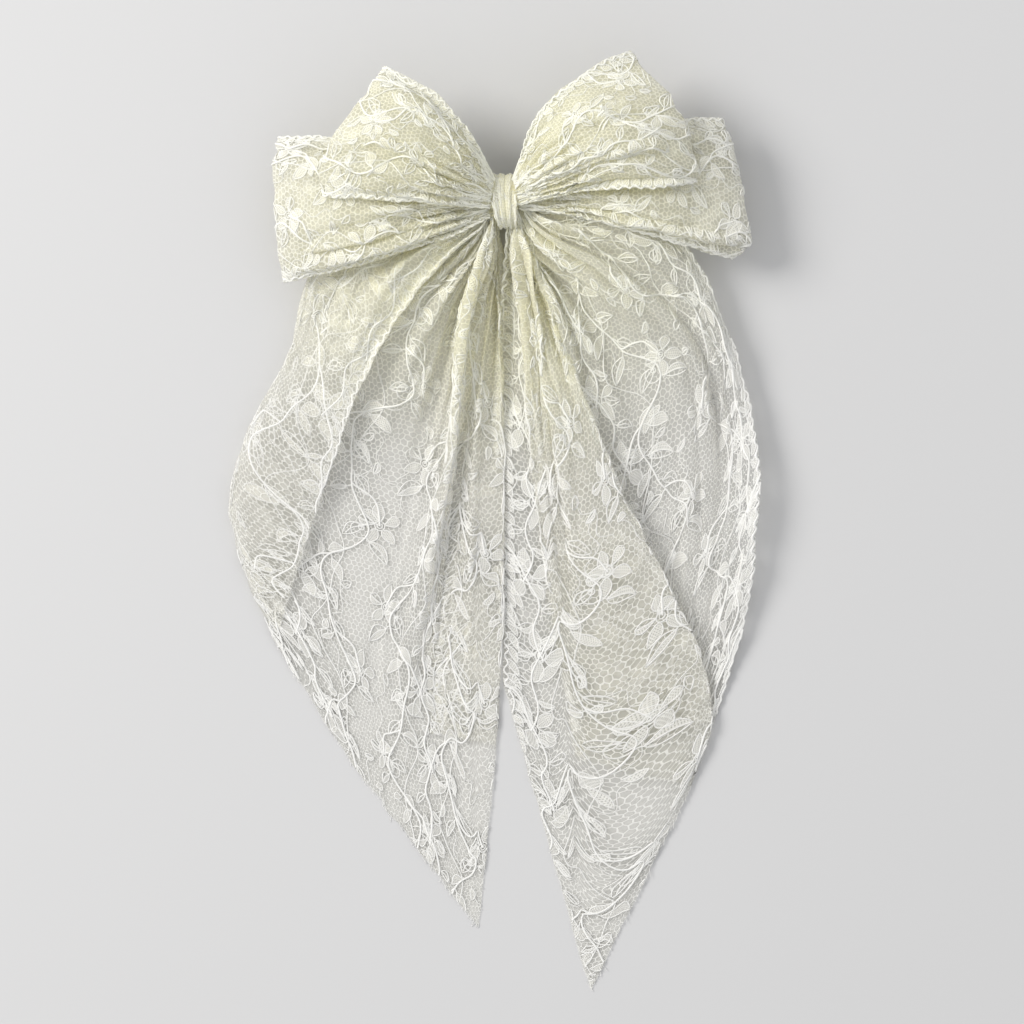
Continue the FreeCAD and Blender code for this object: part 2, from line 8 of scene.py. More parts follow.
import bpy
import numpy as np
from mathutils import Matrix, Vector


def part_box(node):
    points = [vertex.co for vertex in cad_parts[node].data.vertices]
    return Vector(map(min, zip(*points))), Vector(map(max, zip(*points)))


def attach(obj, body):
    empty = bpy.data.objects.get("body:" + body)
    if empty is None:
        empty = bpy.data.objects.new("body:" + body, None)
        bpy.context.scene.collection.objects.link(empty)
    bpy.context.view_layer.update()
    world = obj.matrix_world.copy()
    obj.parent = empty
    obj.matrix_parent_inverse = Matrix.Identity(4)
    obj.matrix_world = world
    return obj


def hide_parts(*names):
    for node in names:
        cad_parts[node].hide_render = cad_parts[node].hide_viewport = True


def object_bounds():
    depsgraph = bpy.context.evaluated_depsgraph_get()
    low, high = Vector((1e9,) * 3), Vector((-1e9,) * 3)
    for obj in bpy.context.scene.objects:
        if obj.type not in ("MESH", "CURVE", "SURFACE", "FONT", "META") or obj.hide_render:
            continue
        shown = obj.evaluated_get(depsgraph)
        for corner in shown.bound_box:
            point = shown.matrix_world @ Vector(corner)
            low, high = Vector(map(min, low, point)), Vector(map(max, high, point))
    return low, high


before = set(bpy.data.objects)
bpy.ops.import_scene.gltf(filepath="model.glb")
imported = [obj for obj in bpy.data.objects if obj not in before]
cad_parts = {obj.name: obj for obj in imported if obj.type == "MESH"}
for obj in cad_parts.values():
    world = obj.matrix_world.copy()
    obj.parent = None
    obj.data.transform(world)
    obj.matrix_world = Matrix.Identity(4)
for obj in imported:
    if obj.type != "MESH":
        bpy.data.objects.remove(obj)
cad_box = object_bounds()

MM = 0.001
# The barrette reaches down to the table that the bow lies on.
TABLE_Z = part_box("barrette_plate")[0].z

# Each sheet is a flat strip laid over guide lines called rails. A rail is its place across the strip,
# then the points along it: x and y from the middle of the bow, and height over the table.
TAIL_LEFT_WIDTH = 182.0
TAIL_RIGHT_WIDTH = 200.0
TAIL_LEFT_RAILS = (
    # the cut edge of the part that is turned over to the front
    (0, ((-3.0, 1, 14.9), (-7, -9, 17), (-16, -17, 18), (-31, -33, 16.5), (-48, -62, 11.5), (-60, -94, 7))),
    # the outer fold, which is the outline
    (36, ((-3.8, 1, 14.6), (-12, -4, 14.8), (-38, -11, 13.5), (-63, -23, 10.5), (-71, -50, 7),
          (-86, -77, 5.2), (-92, -97, 4.4), (-88, -122, 3), (-77.5, -148.5, 1.2))),
    (76, ((-3.4, 1, 14), (-8, -11, 15.5), (-26, -32, 13), (-44, -62, 6.5), (-56, -95, 1.4), (-61, -130, 1),
          (-52, -188.6, 0.5))),
    # a narrow standing pleat: foot, crest, foot
    (106, ((-2.8, 1, 14), (-5.6, -12, 14.5), (-13.5, -42, 9.5), (-21, -82, 3), (-31, -119, 1.2),
          (-39, -158, 0.8), (-34.5, -211, 0.5))),
    (122, ((-2.4, 1, 14.6), (-5, -12, 18), (-12, -42, 14.5), (-17, -82, 8), (-23.5, -119, 4.5),
           (-29, -154, 1.8), (-25, -223.5, 0.8))),
    (138, ((-2, 1, 14), (-4.4, -12, 14.5), (-9.5, -42, 9.5), (-13.8, -82, 2), (-16.5, -119, 1.4),
           (-19, -158, 0.8), (-16.5, -235, 0.5))),
    # the point of the cut end
    (150, ((-1.6, 1, 14), (-3.4, -12, 12), (-6, -42, 6.5), (-7.5, -82, 4), (-8, -119, 3), (-9, -170, 1.2),
           (-8.8, -244.4, 0.4))),
    # the inner fold, and the part that is turned under
    (158, ((-1.2, 1, 13.6), (-2.4, -12.8, 11), (-1.0, -45, 6), (-0.6, -80, 3.4), (-0.6, -119, 2.4),
           (-1.0, -150, 1.8), (-2.2, -183, 1.0))),
    (182, ((-2, 1, 13.2), (-5, -12, 10), (-12, -45, 4), (-20, -80, 0.8), (-25, -119, 0.5), (-26, -150, 0.5),
           (-25, -179, 0.4))),
)
TAIL_RIGHT_RAILS = (
    # the inner cut edge, one ply on the table
    (0, ((1, 1, 14), (1.0, -12, 12), (-1.5, -45, 4), (-2.4, -90, 1), (-1.5, -132.8, 0.8), (0.2, -164, 0.6))),
    # the point of the cut end
    (20, ((2.2, 1, 14.6), (3.4, -12, 13.4), (9, -45, 9), (14, -90, 6), (18, -132, 4.6), (21, -180, 2),
          (29.1, -266.3, 0.4))),
    # the fold that lies on top, over the fold that lies under it
    (51, ((3.6, 1, 15), (6.5, -10, 15.8), (15, -35, 13.5), (27, -66, 10.5), (39, -97, 8.5), (54, -127, 7),
          (66, -152, 5), (70.5, -173, 3), (63.2, -197, 1.2))),
    (84, ((2.8, 1, 14), (3.8, -14, 14), (7, -45, 9.5), (10.5, -92, 3.4), (13.9, -119, 2.6), (19, -150, 1.8),
          (24, -187, 1.0))),
    (104, ((2.6, 1, 14.2), (5, -14, 17), (10.5, -45, 13), (14.5, -92, 6), (18, -119, 4.4), (23, -150, 2.6),
           (28, -186, 1.2))),
    (134, ((3.4, 1, 13.6), (7, -12, 14), (22, -35, 11), (38, -75, 3.5), (46, -110, 1.2), (50, -145, 0.8),
           (48, -181, 0.5))),
    # a soft crest that runs out sideways from the knot
    (167, ((4, 1, 14.6), (10, -8, 17.5), (33, -23, 18.5), (61, -48, 11), (70, -90, 3.5), (68, -130, 2),
           (64, -177, 1))),
    # the outer cut edge, which is wavy and lifts off the table
    (200, ((4.8, 1, 14.2), (14, -2, 15.5), (40, -5, 14.5), (60, -14, 12.5), (74.7, -41.6, 9),
           (83.6, -72, 8.5), (86.3, -92, 10), (84.8, -112, 9), (83, -132.8, 5.5), (78.1, -153.1, 2.5),
           (71.3, -173.4, 0.8))),
)
FRONT_WIDTH = 59.0
FRONT_LEFT_RAILS = (
    # the upper cut edge: out on the front ply, round the end of the loop and back behind it
    (0, ((-2, 4, 20.4), (-9.8, 19.5, 26), (-22, 33, 29), (-40.2, 44.6, 26), (-23, 30, 21.5), (-9, 14, 19.6),
         (-2, 3, 18.8))),
    (20, ((-2, 3, 20.8), (-16, 17, 33), (-34, 31, 36), (-48, 33.5, 28), (-34, 23, 21), (-16, 10, 19),
          (-2, 2, 18.6))),
    (37, ((-2, 1, 20.8), (-20, 9, 34.5), (-42, 18, 36.5), (-57, 19, 28), (-40, 13, 20.5), (-18, 6, 18.8),
          (-2, 1, 18.5))),
    (51, ((-2, -1, 20.6), (-20, 2, 31), (-44, 7, 34), (-62, 9, 26.5), (-42, 6, 19.8), (-18, 2, 18.4),
          (-2, -0.5, 18.4))),
    (59, ((-2, -3, 20.2), (-19, -2.2, 27), (-42, -1.2, 30), (-60.5, 0.9, 25), (-42, 0.5, 19.4),
          (-18, -1, 18.2), (-2, -2, 18.2))),
)
FRONT_RIGHT_RAILS = (
    (0, ((2, 4, 20.4), (5.8, 14.2, 25), (12, 29, 29), (27, 41.5, 30), (41.5, 49.8, 26), (26, 36, 21.5),
         (9, 17, 19.6), (2, 3, 18.8))),
    (18, ((2, 3, 20.8), (14, 19, 33), (33, 31.5, 36), (54, 35, 28.5), (36, 25, 21), (16, 12, 19),
          (2, 2, 18.6))),
    (33, ((2, 1.5, 20.8), (20, 12, 35), (42, 22, 37), (60.5, 24.5, 28), (40, 16, 20.5), (18, 7, 18.8),
          (2, 1, 18.5))),
    (49, ((2, -0.5, 20.4), (21, 5, 30), (44, 10, 34), (65, 9, 26), (44, 8, 19.8), (19, 3.5, 18.4),
          (2, -0.5, 18.4))),
    (59, ((2, -2.5, 20.2), (21, 1.5, 28), (46, 4.2, 31), (64.2, 5.6, 25), (44, 4, 19.4), (20, 1, 18.2),
          (2, -2, 18.2))),
)
BACK_WIDTH = 55.0
BACK_LEFT_RAILS = (
    (0, ((-2, 3.5, 17.9), (-26, 15, 22), (-55, 20.5, 23), (-75.7, 21.4, 17), (-52, 16, 12.5), (-26, 9, 14),
         (-2, 2.5, 16.4))),
    (17, ((-2, 2, 18), (-26, 8, 24.5), (-55, 12, 26), (-77.4, 12, 17), (-52, 9.5, 12), (-26, 5, 13.6),
          (-2, 1.5, 16.4))),
    (32, ((-2, 0, 18), (-26, -1, 24.5), (-54, -3, 26), (-77.2, -3, 16), (-52, -2, 11.5), (-26, 0, 13.4),
          (-2, 0.2, 16.4))),
    (44, ((-2, -1.8, 17.8), (-26, -8, 23), (-52, -14.5, 24), (-75.8, -17.5, 15), (-50, -11, 11.5),
          (-26, -5, 13.4), (-2, -1.2, 16.4))),
    (55, ((-2, -4.5, 17.6), (-20, -13, 20), (-46, -21, 20), (-74.4, -27.6, 13), (-48, -19, 11),
          (-24, -8, 13.4), (-2, -2.5, 16.2))),
)
BACK_RIGHT_RAILS = (
    (0, ((2, 3.5, 17.9), (28, 20, 22), (54, 26.5, 23), (73.7, 27.6, 17), (52, 20, 12.5), (26, 10, 14),
         (2, 2.5, 16.4))),
    (15, ((2, 2, 18), (28, 11, 24.5), (56, 17, 26), (77.3, 15.5, 17), (52, 12, 12), (26, 6, 13.6),
          (2, 1.5, 16.4))),
    (31, ((2, 0.5, 18), (28, 3, 24.5), (57, 4, 26), (80.6, 0, 16.5), (52, 2, 11.5), (26, 1, 13.4),
          (2, 0.2, 16.4))),
    (42, ((2, -1, 17.8), (27, -3, 22.5), (55, -7.5, 24), (83.3, -14, 15.5), (52, -6, 11.5), (26, -2.5, 13.4),
          (2, -1.2, 16.4))),
    (55, ((2, -2.8, 17.6), (20, -4.5, 20), (46, -10, 20), (76.4, -19.4, 13), (50, -11, 11),
          (24, -4.5, 13.4), (2, -2.5, 16.2))),
)

# The knot band, once round: left and right edge, then y and height over the table.
BAND_WIDTH = 14.5
BAND_PLEATS = 4
BAND_SEED = 31
# The band's ends meet under the clip's plate. No motif or cord is laid this near to them.
BAND_MARGIN = 11.0
BAND_STATIONS = (
    (-5.0, 5.0, 0, 10.9),
    (-5.0, 5.0, 6.8, 11.2),
    (-5.4, 5.4, 8.8, 14.5),
    (-5.6, 5.6, 7.2, 20.6),
    (-4.6, 4.6, 1, 22.2),
    (-3.0, 4.4, -6.6, 20.8),
    (-1.8, 4.4, -9.2, 15.0),
    (-4.4, 4.6, -7.0, 11.2),
    (-5.0, 5.0, -0.6, 11.0),
)


def band_rails():
    """Lines round the knot, from its left edge to its right edge."""
    return [
        (share * BAND_WIDTH, [(left + (right - left) * share, y, height)
                              for left, right, y, height in BAND_STATIONS])
        for share in np.linspace(0, 1, 5)
    ]


# ---------------------------------------- sheets

# The cloth is drawn tight within this distance of the knot.
ROUND_THE_KNOT = 10.0
# At the knot the cloth counts as narrower than it lies, by this share, so its pleats run on. That
# fades away between these two shares of its length.
LASTING_PLEATS = 0.5
LASTING_FADE = (0.15, 0.6)
# A tail's own folds die away between these distances from the knot.
FOLD_REACH = (30.0, 105.0)
# Fine pleats merge into broad ones between these distances from the knot.
MERGING = (16.0, 46.0)
# The small waves of a pleat: height, how often each comes in a pleat, and where it starts.
FINE_WAVES = ((0.75, 1.0, 0.0), (0.3, 2.3, 1.0), (0.15, 4.1, 2.0))
BROAD_WAVES = ((0.45, 1 / 1.3, 2.0), (0.16, 2.1, 0.0))
# The main broad wave: its height, and its pitch in pleats.
BROAD_HEIGHT = 1.5
BROAD_PITCH = 2.7


def smooth_step(low, high, value):
    """0 up to low, 1 from high, and a soft rise between them."""
    share = np.clip((value - low) / (high - low), 0, 1)
    return share * share * (3 - 2 * share)


def read_between(values, places, at, curved=True):
    """Values given at some places, read at others, on a smooth curve or on straight runs."""
    values = np.asarray(values, float)
    places = np.asarray(places, float)
    first = np.clip(np.searchsorted(places, at, side="right") - 1, 0, len(places) - 2)
    gap = places[first + 1] - places[first]
    tail = (1,) * (values.ndim - 1)
    share = ((at - places[first]) / gap).reshape(-1, *tail)
    start, end = values[first], values[first + 1]
    if not curved:
        return start + (end - start) * share
    slopes = np.gradient(values, places, axis=0)
    gap = gap.reshape(-1, *tail)
    square, cube = share ** 2, share ** 3
    return (
        start * (2 * cube - 3 * square + 1)
        + slopes[first] * gap * (cube - 2 * square + share)
        + end * (3 * square - 2 * cube)
        + slopes[first + 1] * gap * (cube - square)
    )


def walked(points):
    """The distance walked along a line at each of its points."""
    steps = np.linalg.norm(np.diff(points, axis=0), axis=1)
    return np.concatenate([[0], np.cumsum(steps)])


def even_line(points, count):
    """A smooth line through the points, as evenly spaced points, and its length."""
    points = np.asarray(points, float)
    fine = read_between(points, walked(points), np.linspace(0, walked(points)[-1], 30 * len(points)))
    along = walked(fine)
    even = np.linspace(0, along[-1], count)
    return np.stack([np.interp(even, along, fine[:, axis]) for axis in range(3)], axis=1), along[-1]


def ripple(across, along, seed, size):
    """A soft unevenness from 1 to -1, about size mm from crest to crest."""
    draw = np.random.default_rng(seed)
    total = 0
    for _ in range(5):
        way = draw.uniform(0, 2 * math.pi)
        pitch = size * draw.uniform(0.7, 1.5)
        turn = 2 * math.pi * (across * math.cos(way) + along * math.sin(way)) / pitch
        total = total + np.sin(turn + draw.uniform(0, 2 * math.pi))
    return total / 5


def waves(turn, parts):
    """A sum of waves, each given as its height, how often it comes in a turn, and where it starts."""
    return sum(height * np.sin(often * turn + start) for height, often, start in parts)


class Strip:
    """A strip of cloth laid over its rails. across and along are places on the flat strip, in mm.

    pleats: how many pleats its width is laid in, and depth: their height as a share of their pitch
    folds: height of the folds near the knot        merged: how far fine pleats merge into broad ones
    crumple: height of its unevenness               under: how far an inner layer lies below the outer
    calm: share of the length past which it lies flat, for a tail
    looped: it goes out, round and back, with no pleats at the turn, and is calmer at its first edge
    tied: it starts at the knot. face is 1 or -1, whichever turns its right side up.
    """

    def __init__(self, name, rails, width, pleats, seed, depth=0.27, folds=0.0, merged=0.0, crumple=0.35,
                 under=0.0, calm=0.0, looped=False, tied=True, face=1, columns=200, rows=150):
        self.name, self.width, self.pleats, self.seed = name, width, pleats, seed
        self.depth, self.folds, self.merged = depth, folds, merged
        self.crumple, self.under, self.calm = crumple, under, calm
        self.looped, self.tied, self.face = looped, tied, face
        self.places = np.array([place for place, _ in rails], float)
        self.across = np.linspace(0, width, columns)
        self.share = np.linspace(0, 1, rows)
        lines = [even_line(points, rows) for _, points in rails]
        self.lengths = np.array([length for _, length in lines])
        self.along = self.length_at(self.across)[:, None] * self.share[None, :]
        guide = np.array([line for line, _ in lines])
        points = read_between(guide, self.places, self.across)
        if calm:
            straight = read_between(guide, self.places, self.across, curved=False)
            points = points + (straight - points) * smooth_step(calm, 1, self.share)[None, :, None]
        self.points = self.pleated(points)
        self.points[..., 2] = np.maximum(self.points[..., 2], self.floor_under())
        self.points[..., 2] += TABLE_Z / MM
        self.normals = self.facing(self.points)

    def length_at(self, across):
        return np.interp(across, self.places, self.lengths)

    def facing(self, points):
        normals = np.cross(np.gradient(points, axis=1), np.gradient(points, axis=0)) * self.face
        return normals / np.maximum(np.linalg.norm(normals, axis=2, keepdims=True), 1e-9)

    def pleat_height(self, points, across, from_knot):
        """Where the strip is squeezed narrower than its flat width, the spare cloth stands up."""
        spread = np.linalg.norm(np.gradient(points, self.across, axis=0), axis=2)
        lively = 1 - LASTING_PLEATS * (1 - smooth_step(*LASTING_FADE, self.share))[None, :]
        spread = np.clip(spread * lively, 0, 1)
        pitch = self.width / self.pleats
        height = self.depth * pitch * np.sqrt(1 - spread ** 2)
        uneven = 0.95 + 0.9 * ripple(across, self.along * 0.3, self.seed + 7, 30)
        height = height * np.clip(uneven, 0.15, 1.6)
        height = np.maximum(height, self.folds * (1 - smooth_step(*FOLD_REACH, from_knot)))
        if self.tied:
            drawn_tight = smooth_step(ROUND_THE_KNOT * 0.8, ROUND_THE_KNOT * 2.2, from_knot)
            height = height * (0.22 + 0.78 * drawn_tight)
        else:
            ends = smooth_step(0, 0.2, self.share) * (1 - smooth_step(0.8, 1, self.share))
            height = height * ends[None, :]
        if self.calm:
            flat = smooth_step(self.calm - 0.25, self.calm + 0.15, self.share)
            height = height * (1 - 0.9 * flat)[None, :]
        if self.looped:
            height = height * (0.55 + 0.55 * smooth_step(0.25, 0.8, across / self.width))
            height = height * (1 - 0.8 * np.exp(-(((self.share - 0.5) / 0.05) ** 2)))[None, :]
        return height

    def pleat_wave(self, across, from_knot):
        """The shape of the pleats across the strip, from about 1 to -1."""
        turn = 2 * math.pi * across / (self.width / self.pleats)
        turn = turn + 3.6 * ripple(across, self.along * 0.3, self.seed, 48)
        fine = waves(turn, FINE_WAVES)
        broad = BROAD_HEIGHT * np.sin(turn / BROAD_PITCH + self.seed) + waves(turn, BROAD_WAVES)
        return fine + (broad - fine) * self.merged * smooth_step(*MERGING, from_knot)

    def unevenness(self, across, from_knot):
        """Soft dents and bumps, up from an inner layer's own level."""
        large = ripple(across, self.along, self.seed + 1, 26)
        small = ripple(across, self.along, self.seed + 9, 9)
        bumps = self.crumple * (large + 0.6 * small)
        bumps = bumps * smooth_step(ROUND_THE_KNOT, ROUND_THE_KNOT * 3, from_knot)
        return bumps - self.under * smooth_step(ROUND_THE_KNOT, ROUND_THE_KNOT * 2, from_knot)

    def pleated(self, points):
        """The cloth's points, moved from the smooth surface of the rails to its pleats and bumps."""
        across = np.broadcast_to(self.across[:, None], points.shape[:2])
        from_knot = np.hypot(points[..., 0], points[..., 1])
        height = self.pleat_height(points, across, from_knot)
        stand = self.pleat_wave(across, from_knot) * height + self.unevenness(across, from_knot)
        points = points + self.facing(points) * stand[..., None]
        wander = 0.6 * smooth_step(ROUND_THE_KNOT, ROUND_THE_KNOT * 4, from_knot)
        for axis in (0, 1):
            points[..., axis] += wander * ripple(across, self.along, self.seed + 3 + axis, 13)
        return points

    def floor_under(self):
        """The lowest that the cloth lies: a hair over the table, in slight waves."""
        across = np.broadcast_to(self.across[:, None], self.along.shape)
        return 0.35 + 0.15 * ripple(across, self.along, self.seed + 2, 18)

    def inside(self, flat, margin=0.0):
        return (
            (flat[..., 0] >= 0)
            & (flat[..., 0] <= self.width)
            & (flat[..., 1] >= margin)
            & (flat[..., 1] <= self.length_at(flat[..., 0]) - margin)
        )

    def place(self, flat, over=0.0):
        """Points of the flat strip as points in space, over mm above the cloth, and its normals there."""
        column = np.clip(flat[..., 0] / self.width, 0, 1) * (len(self.across) - 1)
        row = np.clip(flat[..., 1] / self.length_at(flat[..., 0]), 0, 1) * (len(self.share) - 1)
        i = np.minimum(column.astype(int), len(self.across) - 2)
        j = np.minimum(row.astype(int), len(self.share) - 2)
        a, b = (column - i)[..., None], (row - j)[..., None]

        def mixed(grid):
            near = grid[i, j] * (1 - b) + grid[i, j + 1] * b
            far = grid[i + 1, j] * (1 - b) + grid[i + 1, j + 1] * b
            return near * (1 - a) + far * a

        normals = mixed(self.normals)
        normals = normals / np.maximum(np.linalg.norm(normals, axis=-1, keepdims=True), 1e-9)
        over = np.asarray(over, float)
        return mixed(self.points) + normals * (over[..., None] if over.ndim else over), normals


# ---------------------------------------- meshes

class Build:
    """Gathers grids and tubes into one mesh. Its UVs are the places on the flat cloth."""

    def __init__(self):
        self.points, self.faces, self.flats, self.count = [], [], [], 0

    def grid(self, points, flats, keep=None, closed=False):
        """A sheet of quads over a grid of points. keep says which points may carry a face."""
        wide, deep = points.shape[:2]
        index = np.arange(wide * deep).reshape(wide, deep)
        if closed:
            index = np.concatenate([index, index[:, :1]], axis=1)
        quads = np.stack([index[:-1, :-1], index[1:, :-1], index[1:, 1:], index[:-1, 1:]], axis=-1)
        quads = quads.reshape(-1, 4)
        if keep is not None:
            quads = quads[keep.reshape(-1)[quads].all(axis=1)]
            used, quads = np.unique(quads, return_inverse=True)
            quads = quads.reshape(-1, 4)
            points, flats = points.reshape(-1, 3)[used], flats.reshape(-1, 2)[used]
        self.points.append(points.reshape(-1, 3))
        self.flats.append(flats.reshape(-1, 2))
        self.faces.append(quads + self.count)
        self.count += len(self.points[-1])

    def tube(self, path, normals, radius, sides):
        """A round thread along a path, with the normals of the cloth that it lies on."""
        beside = np.cross(np.gradient(path, axis=0), normals)
        beside = beside / np.maximum(np.linalg.norm(beside, axis=1, keepdims=True), 1e-9)
        angles = np.arange(sides) * 2 * math.pi / sides
        rings = (
            path[:, None, :]
            + beside[:, None, :] * np.cos(angles)[None, :, None] * radius
            + normals[:, None, :] * np.sin(angles)[None, :, None] * radius
        )
        along = np.broadcast_to(walked(path)[:, None], (len(path), sides))
        round_it = np.broadcast_to((angles * radius)[None, :], (len(path), sides))
        self.grid(rings, np.stack([round_it, along], axis=-1), closed=True)

    def finish(self, name, material, body="bow"):
        points = np.concatenate(self.points) * MM
        faces = np.concatenate(self.faces)
        flats = np.concatenate(self.flats) * MM
        mesh = bpy.data.meshes.new(name)
        mesh.vertices.add(len(points))
        mesh.vertices.foreach_set("co", points.astype(np.float32).ravel())
        mesh.loops.add(faces.size)
        mesh.loops.foreach_set("vertex_index", faces.astype(np.int32).ravel())
        mesh.polygons.add(len(faces))
        mesh.polygons.foreach_set("loop_start", np.arange(0, faces.size, 4, dtype=np.int32))
        mesh.polygons.foreach_set("use_smooth", np.ones(len(faces), dtype=bool))
        layer = mesh.uv_layers.new(name="flat")
        layer.data.foreach_set("uv", flats[faces.ravel()].astype(np.float32).ravel())
        mesh.update(calc_edges=True)
        mesh.validate()
        piece = bpy.data.objects.new(name, mesh)
        bpy.context.scene.collection.objects.link(piece)
        mesh.materials.append(material)
        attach(piece, body)
        return piece


# ---------------------------------------- the lace pattern, drawn on the flat cloth

# The design repeats every 30 mm across and 50 mm along the strip. The loops have it smaller.
REPEAT_ACROSS = 30.0
REPEAT_ALONG = 50.0
LOOP_SCALE = 0.78
# The yarn of the vines and borders, of the outlines, and of the short stray sprigs.
CORD_RADIUS = 0.35
OUTLINE_RADIUS = 0.24
FINE_RADIUS = 0.17
# One repeat: a flower is its place across and along from the repeat's corner, and its size.
VINE_LEAVES = 10
LARGE_FLOWER = (13.0, 12.0, 8.4)
SMALL_FLOWER = (-11.0, 36.0, 6.8)
PETALS = 5
FLOWER_LEAVES = 4
SPRIGS = 4
SPRIG = ((0, 0), (2.2, 5), (-1.4, 11), (2.6, 16), (0.5, 21))
# The border's waves and petals are this far apart.
SCALLOP = 4.6


def turned(points, heading):
    """Points drawn along +along, turned to a heading measured from +along towards +across."""
    c, s = math.cos(heading), math.sin(heading)
    across, along = points[..., 0], points[..., 1]
    return np.stack([across * c + along * s, along * c - across * s], axis=-1)


def leaf_width(share):
    return np.sin(math.pi * share ** 0.85) ** 0.9


def petal_width(share):
    return np.sin(math.pi * np.clip(share, 0, 1) ** 1.6) ** 0.7


def blade(base, heading, length, width, profile, bend=0.0, steps=10, halves=2):
    """The grid of a leaf or petal and its outline, on the flat cloth."""
    share = np.linspace(0, 1, steps)
    side = np.linspace(-1, 1, 2 * halves + 1)
    middle = np.stack([bend * length * np.sin(math.pi * share), length * share], axis=-1)
    half = profile(share)[:, None] * width / 2 * side[None, :]
    grid = middle[:, None, :] + np.stack([half, np.zeros_like(half)], axis=-1)
    outline = np.concatenate([grid[:, -1], grid[::-1, 0][1:]])
    own = np.stack([half, np.broadcast_to((length * share)[:, None], half.shape)], axis=-1)
    return turned(grid, heading) + base, own, turned(outline, heading) + base


class Pattern:
    """What is drawn on the flat cloth: filled blades, with thin outlines, and corded lines."""

    def __init__(self):
        self.blades, self.lines = [], []

    def add_blade(self, base, heading, length, width, profile, bend=0.0, filling="whole"):
        """A leaf or petal with its outline. Its filling is whole, half (up to its middle) or none."""
        grid, own, outline = blade(np.asarray(base, float), heading, length, width, profile, bend)
        middle = grid.shape[1] // 2
        if filling == "whole":
            self.blades.append((grid, own))
        elif filling == "half":
            self.blades.append((grid[:, middle:], own[:, middle:]))
            self.lines.append((grid[:, middle], OUTLINE_RADIUS))
        self.lines.append((outline, OUTLINE_RADIUS))

    def add_line(self, points, radius=CORD_RADIUS):
        points = np.asarray(points, float)
        along = walked(points)
        fine = read_between(points, along, np.linspace(0, along[-1], max(4, int(along[-1] / 1.0))))
        self.lines.append((fine, radius))

    def add_ring(self, centre, radius):
        turn = np.linspace(0, 2 * math.pi, 15)
        ring = np.stack([np.cos(turn), np.sin(turn)], axis=-1) * radius
        self.lines.append((ring + np.asarray(centre, float), OUTLINE_RADIUS))


def draw_flower(pattern, centre, size, heading):
    """A star flower: petals round a double ring, every other one pointed."""
    for k in range(PETALS):
        way = heading + 2 * math.pi * k / PETALS
        start = np.asarray(centre) + turned(np.array([0.0, size * 0.22]), way)
        profile = petal_width if k % 2 else leaf_width
        reach = size * (0.78 if k % 2 else 0.9)
        pattern.add_blade(start, way, reach, size * 0.5, profile, 0.06, "half" if k == 3 else "whole")
    pattern.add_ring(centre, size * 0.24)
    pattern.add_ring(centre, size * 0.12)


FILLINGS = ("whole", "none", "half")


def draw_leaf(pattern, base, heading, length, filling, mirror):
    """A leaf on a short stalk. An open one has a corded middle."""
    stalk = turned(np.array([[0, 0], [0.3 * mirror, 1.0], [0, 1.8]]), heading) + base
    pattern.add_line(stalk, OUTLINE_RADIUS)
    start = stalk[-1]
    pattern.add_blade(start, heading, length, length * 0.44, leaf_width, 0.1 * mirror, filling)
    if filling == "none":
        rib = np.array([[0, 0], [0.09 * length * mirror, length * 0.5], [0, length * 0.85]])
        pattern.add_line(turned(rib, heading) + start, OUTLINE_RADIUS)


def draw_curl(pattern, base, heading, size, mirror):
    """A tendril that curls in to a small bud."""
    turn = np.linspace(0, 1.6 * math.pi, 12)
    reach = size * (1 - 0.75 * turn / turn[-1])
    curl = np.stack([mirror * (size - reach * np.cos(turn)), reach * np.sin(turn)], axis=-1)
    line = turned(curl, heading) + base
    pattern.add_line(line, OUTLINE_RADIUS)
    pattern.add_ring(line[-1], 0.9)


def vine_offset(along, mirror):
    """How far the main vine swings to the side, along the repeat."""
    turn = 2 * math.pi * along / REPEAT_ALONG
    return mirror * (6.5 * np.sin(turn) + 2.0 * np.sin(2 * turn + 0.6))


